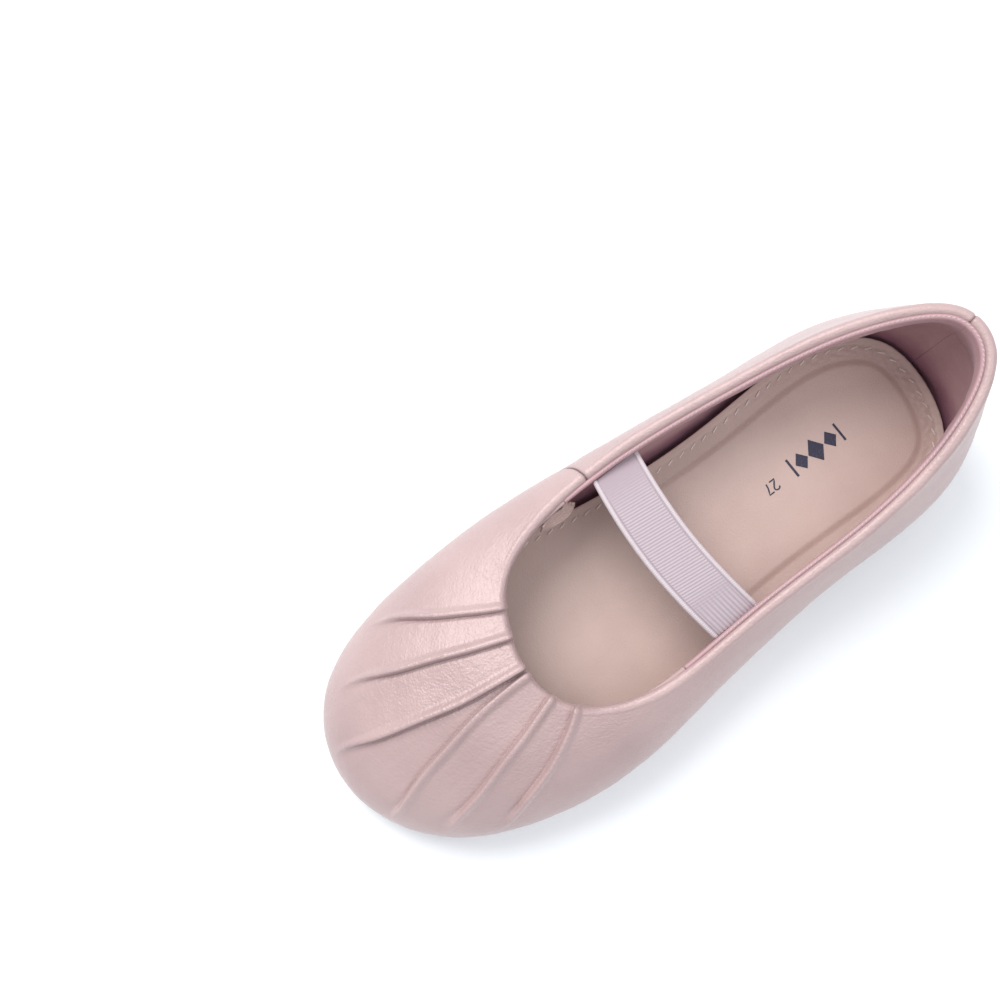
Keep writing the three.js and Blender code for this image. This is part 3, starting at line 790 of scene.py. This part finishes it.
# The loose tail of the strap's inner end comes out under the lining's edge ahead of the strap,
# runs back along the lining and curls. It is cut narrow, with its bare warm-beige back upward.
TAIL_WIDTH = 3.0
TAIL_STATION = 0.672
TAIL_CURL = [(2.4, -3.5, -2.2), (2.5, -3.9, -0.8), (2.8, -4.5, 1.0), (3.4, -5.2, 2.8), (3.8, -5.7, 4.4),
             (3.8, -5.7, 5.8), (3.4, -5.1, 6.8), (3.1, -4.3, 7.2)]
TAIL_ROWS, TAIL_COLUMNS = 70, 40
TAIL_HALF, TAIL_RIB, TAIL_RIB_PITCH = 0.26, 0.05, 0.8
TAIL_FRAY = 0.25
TAIL_SMOOTHING = 14


def loose_fibre_group():
    """Two-tone unevenness of spun or pressed fibre at a chosen fineness."""
    g, gi, go = group_of("loose_fibre", [("Place", "Vector"), ("Per metre", "Float"), ("Dark", "Color"),
                                         ("Light", "Color")], [("Colour", "Color"), ("Height", "Float")])
    flock = noise(g, gi.outputs["Place"], gi.outputs["Per metre"], 5)
    tone = blend_colour(g, ranged(g, flock, 0.3, 0.7), gi.outputs["Dark"], gi.outputs["Light"])
    g.links.new(tone, go.inputs["Colour"])
    g.links.new(flock, go.inputs["Height"])
    return g


loose_fibre = loose_fibre_group()


def fibre(name, dark, light, per_metre, roughness):
    """Spun thread, cord, felt, foam or board, by the fineness and tone of its fibre."""
    mat, tree, body = plain_material(name)
    place, flock = tree.nodes.new("ShaderNodeTexCoord"), tree.nodes.new("ShaderNodeGroup")
    flock.node_tree = loose_fibre
    for key, value in (("Per metre", per_metre), ("Dark", (*dark, 1)), ("Light", (*light, 1))):
        flock.inputs[key].default_value = value
    tree.links.new(place.outputs["Object"], flock.inputs["Place"])
    tree.links.new(flock.outputs["Colour"], body.inputs["Base Color"])
    raise_relief(tree, flock.outputs["Height"], body, strength=0.4, distance=0.0001)
    body.inputs["Roughness"].default_value = roughness
    return mat


curl = np.array(TAIL_CURL, float)
t = np.linspace(0, len(curl) - 1, TAIL_ROWS)
curl = np.stack([np.interp(t, range(len(curl)), curl[:, k]) for k in range(3)], 1)
for _ in range(TAIL_SMOOTHING):
    curl[1:-1] = (curl[:-2] + 2 * curl[1:-1] + curl[2:]) / 4
ahead = outward(topline, np.array(TAIL_STATION))
forward = np.array([-ahead[1], ahead[0], 0])
base = rim(np.array(TAIL_STATION), np.array(0.0), 0)
middle = base - ahead * curl[:, :1] + np.array([0, 0, 1]) * curl[:, 1:2] - forward * curl[:, 2:]
wide = np.linspace(-1, 1, TAIL_COLUMNS)
fray = TAIL_FRAY * ripple(np.stack([wide * 3, wide, wide], -1), 0.6, 51)
run_back = np.gradient(middle, axis=0)
run_back /= np.linalg.norm(run_back, axis=1, keepdims=True)
twist = ease(0.0, 0.4, np.linspace(0, 1, len(middle)))[:, None]
breadth = -(0.12 + 0.66 * twist) * ahead + np.array([0, 0, -1.0]) * (1 - 0.35 * twist)
breadth = breadth - run_back * (run_back * breadth).sum(1, keepdims=True)
breadth /= np.linalg.norm(breadth, axis=1, keepdims=True)
rows = middle[:, None] + breadth[:, None] * (wide * TAIL_WIDTH / 2)[None, :, None]
rows[-1] += run_back[-1] * fray[:, None]
face_up = np.cross(run_back, breadth)
face_up *= np.sign(face_up[40, 2])
half_way, centre = TAIL_ROWS // 2, TAIL_COLUMNS // 2
sideways = np.gradient(rows, axis=1)[half_way, centre]
flip = np.sign(np.cross(sideways, run_back[half_way]) @ face_up[half_way])
half = TAIL_HALF + TAIL_RIB * np.cos(2 * np.pi * wide * TAIL_WIDTH / 2 / TAIL_RIB_PITCH)
tail_front = rows + flip * face_up[:, None] * half[None, :, None]
tail_back = rows - flip * face_up[:, None] * half[None, :, None]
tail = sew_sheet("strap_tail_curl", tail_front, tail_back)
elastic_back = fibre(
    "elastic_back", dark=(0.38, 0.265, 0.24), light=(0.52, 0.385, 0.35), per_metre=2600, roughness=0.85)
tail.data.materials.append(elastic_back)
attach(tail, "shoe")
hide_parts("strap_tail")

# ---------------------------------------------------------------- stitching
# Pale pink thread: a row of slanted stitches along the lining's bead, and a row of longer
# slanted stitches that holds the sock's band. Each stitch is a short rounded length of thread.
THREAD_FINENESS, THREAD_ROUGHNESS = 5000, 0.6
rose_thread = fibre(
    "rose_thread", dark=(0.41, 0.335, 0.33), light=(0.56, 0.475, 0.465),
    per_metre=THREAD_FINENESS, roughness=THREAD_ROUGHNESS)
pale_thread = fibre(
    "pale_thread", dark=(0.60, 0.49, 0.46), light=(0.82, 0.71, 0.67),
    per_metre=THREAD_FINENESS, roughness=THREAD_ROUGHNESS)


def stitch_run(name, mat, centres, directions, ups, length, radius):
    """Many short rounded stitches as one mesh."""
    ring = 6
    rows = np.array([(-0.5, 0.15), (-0.46, 0.6), (-0.36, 0.95), (-0.12, 1.0), (0.12, 1.0),
                     (0.36, 0.95), (0.46, 0.6), (0.5, 0.15)])
    angles = 2 * np.pi * np.arange(ring) / ring
    verts, faces = [], []
    for c, d, n in zip(centres, directions, ups):
        side = np.cross(d, n)
        base = len(verts)
        for along, wide in rows:
            sag = -0.25 * radius * (2 * along) ** 2
            for a in angles:
                verts.append(c + d * along * length + side * math.cos(a) * radius * wide
                             + n * (math.sin(a) * radius * wide + sag))
        for i in range(len(rows) - 1):
            for k in range(ring):
                p, q = base + i * ring + k, base + i * ring + (k + 1) % ring
                faces.append((p, q, q + ring, p + ring))
        faces.append(tuple(base + k for k in reversed(range(ring))))
        faces.append(tuple(base + (len(rows) - 1) * ring + k for k in range(ring)))
    piece = piece_of(name, verts, faces)
    piece.data.materials.append(mat)
    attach(piece, "shoe")
    return piece


def even_stations(path, pitch):
    """Stations spaced evenly along a closed path of points."""
    u = np.linspace(0, 1, 3000)
    p = path(u)
    s = np.concatenate([[0], np.cumsum(np.linalg.norm(np.diff(p, axis=0), axis=-1))])
    n = int(s[-1] / pitch)
    return np.interp(np.arange(n) * s[-1] / n, s, u)


def turned(along, n, degrees):
    """Directions turned by an angle about the upward direction n."""
    side = np.cross(n, along)
    a = math.radians(degrees)
    return along * math.cos(a) + side * math.sin(a)


RIM_STITCH_PITCH, RIM_STITCH, RIM_THREAD, RIM_SLANT = 1.15, 0.95, 0.15, 32
SOCK_STITCH_PITCH, SOCK_STITCH, SOCK_THREAD, SOCK_SLANT = 3.5, 2.1, 0.22, 22
SOCK_THREAD_LIFT = 0.12
BAND = 2.4


def hem_path(u):
    """The line of the rim stitches, on top of the lining's sewn edge."""
    return rim(u, 3.32 - 2 * ROLL * toe_share(u), -0.70)


def band_path(u):
    """The line of the sock's stitches, along its border."""
    return under(u, np.full_like(u, SOCK_EDGE + BAND), 0)


u = even_stations(hem_path, RIM_STITCH_PITCH)
u = u[toe_share(u) < 0.2]
along = hem_path(u + 1e-3) - hem_path(u - 1e-3)
along /= np.linalg.norm(along, axis=-1, keepdims=True)
ups = np.array([0, 0, 0.85]) - outward(topline, u) * 0.5
ups -= (ups * along).sum(-1, keepdims=True) * along
ups /= np.linalg.norm(ups, axis=-1, keepdims=True)
rim_thread = stitch_run("topline_stitches", rose_thread, hem_path(u) + ups * 0.02,
                        turned(along, ups, RIM_SLANT), ups, RIM_STITCH, RIM_THREAD)
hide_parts("topline_stitching")

u = even_stations(band_path, SOCK_STITCH_PITCH)
u = u[(u < 0.35) | (u > 0.62)]
centres = band_path(u)
centres[:, 2] = sock_top(centres[:, 0], centres[:, 1]) + SOCK_THREAD_LIFT
along = band_path(u + 1e-3) - band_path(u - 1e-3)
along /= np.linalg.norm(along, axis=-1, keepdims=True)
ups = np.tile([0.0, 0, 1], (len(u), 1))
sock_thread = stitch_run("sock_stitches", pale_thread, centres,
                         turned(along, ups, SOCK_SLANT), ups, SOCK_STITCH, SOCK_THREAD)
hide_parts("sock_stitching")

# ---------------------------------------------------------------- sole and heel
# A thin moulded rubber sole in a muted rose-brown, with rounded edges and a shallow pattern of
# cross grooves, and a low rubber heel block. Both are cemented on.
SOLE_INSET = 3.5
HEEL_INSET = 5.0
HEEL_FRONT = 0.15
HEEL_TOP = 6.15
SOLE_ROUNDING, HEEL_ROUNDING = 0.9, 1.0
CEMENT = 0.25
GROOVE_PITCH = 3.6
GROOVE_DEPTH = 0.45


def block_grid(front, inset, along, across):
    """Points under the foot between the two sides, from the heel back to the given station."""
    u = front * (1 - np.cos(np.pi * np.linspace(0, 1, along))) / 2
    r = np.sin(np.pi / 2 * np.linspace(-1, 1, across))
    a, b = under(u, np.full_like(u, inset), 0), under(1 - u, np.full_like(u, inset), 0)
    rr = (r[None, :, None] + 1) / 2
    return a[:, None] * (1 - rr) + b[:, None] * rr


rubber = leather(
    "sole_rubber", light=(0.36, 0.235, 0.215), dark=(0.31, 0.195, 0.18), crease_shade=(0.2, 0.1, 0.1),
    gloss=0.62, grain_depth=0.00008, pearl=0.0, coat=0.0, pebbles=1800.0, wrinkle=0.6)
tread = block_grid(0.5, SOLE_INSET, 420, 90)
inner_way = edge_distance(tread) - SOLE_INSET
rounding = SOLE_ROUNDING * (1 - ease(0, 1.4, inner_way)) ** 2
groove = 0.5 + 0.5 * np.cos(2 * np.pi * tread[..., 0] / GROOVE_PITCH)
groove = ease(0.72, 0.95, groove) * ease(3.5, 4.5, inner_way) * ease(2, 8, tread[..., 0])
sole_low, sole_high = tread.copy(), tread.copy()
sole_low[..., 2] += -SOLE_THICK + rounding + GROOVE_DEPTH * groove
sole_high[..., 2] += -CEMENT - 0.3 * rounding
sole = sew_sheet("rubber_sole", sole_high, sole_low)
seat = block_grid(HEEL_FRONT, HEEL_INSET, 120, 70)
inner_way = edge_distance(seat) - HEEL_INSET
breast = seat[-1, :, 0].mean()
inner_way = np.minimum(inner_way, breast - seat[..., 0])
rounding = HEEL_ROUNDING * (1 - ease(0, 1.5, inner_way)) ** 2
low, high = seat.copy(), seat.copy()
low[..., 2] = rounding
high[..., 2] = HEEL_TOP - 0.2 * rounding
heel = sew_sheet("rubber_heel", high, low)
for piece, node in ((sole, "outsole"), (heel, "heel_lift")):
    piece.data.materials.append(rubber)
    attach(piece, "shoe")
    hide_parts(node)

# ---------------------------------------------------------------- topline cord
# A soft cotton cord lies inside the turned edge and gives it its round bulk. It is cemented in
# when the edge is turned and runs all the way round.
CORD_RADIUS = 0.42
CORD_SIDES, CORD_STEPS = 8, 400
u = np.linspace(0, 1, CORD_STEPS, endpoint=False)
core = rim(u, ROLL - 2 * ROLL * toe_share(u) * 0.8, -ROLL)
out = outward(topline, u)
verts, faces = [], []
for k in range(CORD_SIDES):
    a = 2 * np.pi * k / CORD_SIDES
    verts.append(core + out * CORD_RADIUS * math.cos(a) + np.array([0, 0, CORD_RADIUS * math.sin(a)]))
ring = np.arange(CORD_SIDES * CORD_STEPS).reshape(CORD_SIDES, CORD_STEPS)
around, ahead = np.roll(ring, -1, 0), np.roll(ring, -1, 1)
quads = np.stack([ring, ahead, np.roll(around, -1, 1), around], -1).reshape(-1, 4)
cord = piece_of("topline_cord_core", np.concatenate(verts), quads.tolist())
cotton = fibre(
    "cotton_cord", dark=(0.62, 0.56, 0.49), light=(0.78, 0.72, 0.65), per_metre=2500, roughness=0.9)
cord.data.materials.append(cotton)
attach(cord, "shoe")
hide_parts("topline_cord")

# ---------------------------------------------------------------- hidden layers
# Board, filler and stiffeners stay as the frame's solids, each with the fibre finish of the real
# material. The heel and arch pad under the sock is soft foam with rounded edges.
PAD_FRONT = 0.262
PAD_LOW, PAD_THICK = 3.95, 1.75
PAD_ROUNDING = 0.65
PAD_CLEAR = 0.2
board = fibre(
    "fibre_board", dark=(0.30, 0.21, 0.13), light=(0.45, 0.33, 0.22), per_metre=700, roughness=0.9)
foam = fibre(
    "pad_foam", dark=(0.66, 0.58, 0.50), light=(0.80, 0.73, 0.65), per_metre=1500, roughness=0.95)
felt = fibre(
    "stiffened_felt", dark=(0.48, 0.41, 0.31), light=(0.62, 0.55, 0.44), per_metre=1100, roughness=0.9)
HIDDEN = {
    "insole_board": board, "bottom_filler": board, "shank_board": board,
    "toe_puff": felt, "heel_counter": felt,
}
for node, mat in HIDDEN.items():
    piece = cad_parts[node]
    piece.data.materials.clear()
    piece.data.materials.append(mat)
seat = block_grid(PAD_FRONT, PAD_INSET + PAD_CLEAR, 160, 70)
inner_way = np.minimum(edge_distance(seat) - PAD_INSET - PAD_CLEAR, seat[-1, :, 0].mean() - seat[..., 0])
rounding = PAD_ROUNDING * (1 - ease(0, 1.4, inner_way)) ** 2
low, high = seat.copy(), seat.copy()
low[..., 2] += PAD_LOW + rounding
high[..., 2] += PAD_LOW + PAD_THICK - rounding - DISH * ease(0, 22, edge_distance(seat))
pad_piece = sew_sheet("heel_pad_foam", high, low)
pad_piece.data.materials.append(foam)
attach(pad_piece, "shoe")
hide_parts("footbed_pad")

# ---------------------------------------------------------------- studio
# A plain pale floor, one large soft light from behind on the left, a weaker fill and a bright
# room. The camera looks down steeply from above the toe.
FLOOR_HALF = 3.0
FLOOR_TINT = (0.90, 0.925, 0.94, 1)
corners = [(-FLOOR_HALF, -FLOOR_HALF, 0), (FLOOR_HALF, -FLOOR_HALF, 0),
           (FLOOR_HALF, FLOOR_HALF, 0), (-FLOOR_HALF, FLOOR_HALF, 0)]
floor_mesh = bpy.data.meshes.new("floor")
floor_mesh.from_pydata(corners, [], [(0, 1, 2, 3)])
floor = bpy.data.objects.new("floor", floor_mesh)
bpy.context.scene.collection.objects.link(floor)
pale_floor, tree, paper = plain_material("pale_floor")
paper.inputs["Base Color"].default_value = FLOOR_TINT
paper.inputs["Roughness"].default_value = 0.75
floor.data.materials.append(pale_floor)

CAMERA_PLACE = np.array([49.7, 4.5, 371.2])
CAMERA_YAW, CAMERA_PITCH, CAMERA_ROLL = -2.200, 1.430, -0.025
LENS_LENGTH = 51.4
level = math.cos(CAMERA_PITCH)
look = Vector((math.cos(CAMERA_YAW) * level, math.sin(CAMERA_YAW) * level, -math.sin(CAMERA_PITCH)))
right = Vector((math.sin(CAMERA_YAW), -math.cos(CAMERA_YAW), 0))
up = right.cross(look)
roll_cos, roll_sin = math.cos(CAMERA_ROLL), math.sin(CAMERA_ROLL)
side_axis, up_axis = right * roll_cos + up * roll_sin, up * roll_cos - right * roll_sin
lens = bpy.data.cameras.new("camera")
lens.lens = LENS_LENGTH
lens.sensor_width = 36.0
lens.clip_start = 0.01
camera = bpy.data.objects.new("camera", lens)
turn = Matrix((side_axis, up_axis, -look)).transposed().to_4x4()
camera.matrix_world = Matrix.Translation(Vector((CAMERA_PLACE - LAST_CENTRE) * MM)) @ turn
bpy.context.scene.collection.objects.link(camera)
bpy.context.scene.camera = camera


def soft_light(name, toward, distance, size, power, colour):
    """A round soft light that shines on the shoe from one direction."""
    lamp = bpy.data.lights.new(name, "AREA")
    lamp.shape = "DISK"
    lamp.size = size
    lamp.energy = power
    lamp.color = colour
    stand = bpy.data.objects.new(name, lamp)
    direction = Vector(toward).normalized()
    stand.location = direction * distance
    stand.rotation_euler = direction.to_track_quat("Z", "Y").to_euler()
    bpy.context.scene.collection.objects.link(stand)


far_side = Vector((up_axis.x, up_axis.y, 0)).normalized()
right_side = Vector((side_axis.x, side_axis.y, 0)).normalized()
soft_light("key", far_side * 0.8 - right_side * 0.65 + Vector((0, 0, 1.4)),
           distance=1.0, size=0.72, power=9.2, colour=(1.0, 0.98, 0.965))
soft_light("fill", right_side * 0.6 - far_side * 0.3 + Vector((0, 0, 1.6)),
           distance=1.2, size=0.9, power=4.4, colour=(0.97, 0.975, 1.0))
world = bpy.data.worlds.new("room")
world.use_nodes = True
world.node_tree.nodes["Background"].inputs["Color"].default_value = (0.93, 0.96, 1.0, 1)
world.node_tree.nodes["Background"].inputs["Strength"].default_value = 0.76
bpy.context.scene.world = world
bpy.context.scene.view_settings.view_transform = "Standard"
